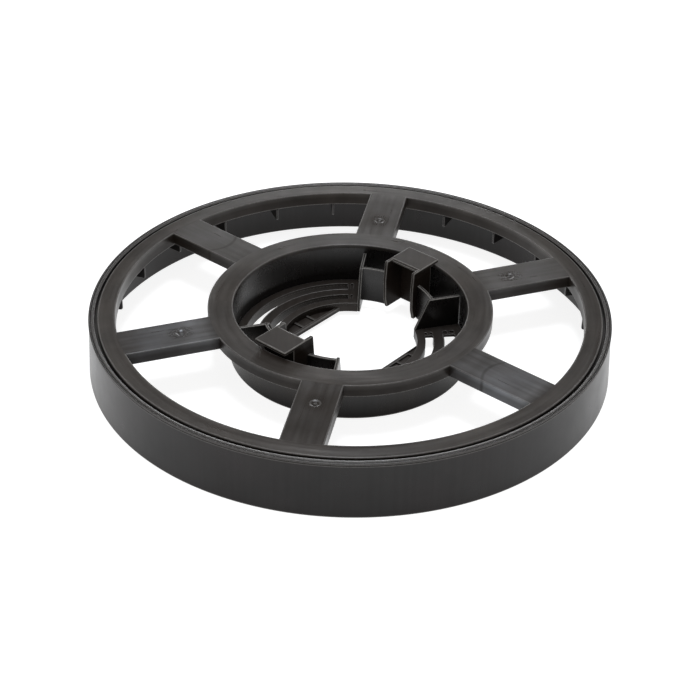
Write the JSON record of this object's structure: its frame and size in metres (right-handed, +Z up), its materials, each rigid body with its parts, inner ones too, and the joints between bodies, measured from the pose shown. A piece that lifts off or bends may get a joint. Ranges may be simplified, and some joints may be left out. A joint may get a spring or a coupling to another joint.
{
  "type": "splash guard ring",
  "caption": "Round splash-guard skirt with a spoked top and a slotted hub with two sprung catches, for a hand-held rotary scrubbing head.",
  "frame": {"origin": "centre of the ring on the plane the skirt's foot stands on", "axes": "+Z up along the ring's axis; the catches lie on the diameter 50 degrees from +X towards +Y"},
  "size_m": [0.2532, 0.2532, 0.0315],
  "materials": {
    "frame_plastic": "moulded, satin, fine brushed tool lay on the flat faces",
    "skirt_plastic": "moulded, satin, smooth",
    "hub_plastic": "moulded, semi-gloss walls",
    "catch_plastic": "moulded, satin"
  },
  "bodies": {
    "root": {"rim_ring": "frame_plastic", "collar_ring": "frame_plastic", "spoke_1": "frame_plastic", "spoke_2": "frame_plastic", "spoke_3": "frame_plastic", "spoke_4": "frame_plastic", "spoke_5": "frame_plastic", "spoke_6": "frame_plastic", "skirt_band": "skirt_plastic", "gusset_ring": "skirt_plastic", "retaining_hoop": "skirt_plastic", "hub_barrel": "hub_plastic", "slotted_floor_a": "hub_plastic", "slotted_floor_b": "hub_plastic", "guide_wall_a_left": "hub_plastic", "guide_wall_a_right": "hub_plastic", "guide_wall_b_left": "hub_plastic", "guide_wall_b_right": "hub_plastic"},
    "catch_a_body": {"catch_a": "catch_plastic"},
    "catch_b_body": {"catch_b": "catch_plastic"}
  },
  "joints": [
    {"name": "catch_a_flex", "type": "hinge", "parent": "root", "child": "catch_a_body", "pos_m": [0.03471, 0.04137, 0.0065], "axis": [-0.766, 0.6428, 0], "range_deg": [0, 5], "stiffness_Nm_per_rad": 2.9},
    {"name": "catch_b_flex", "type": "hinge", "parent": "root", "child": "catch_b_body", "pos_m": [-0.03471, -0.04137, 0.0065], "axis": [0.766, -0.6428, 0], "range_deg": [0, 5], "stiffness_Nm_per_rad": 2.9}
  ]
}
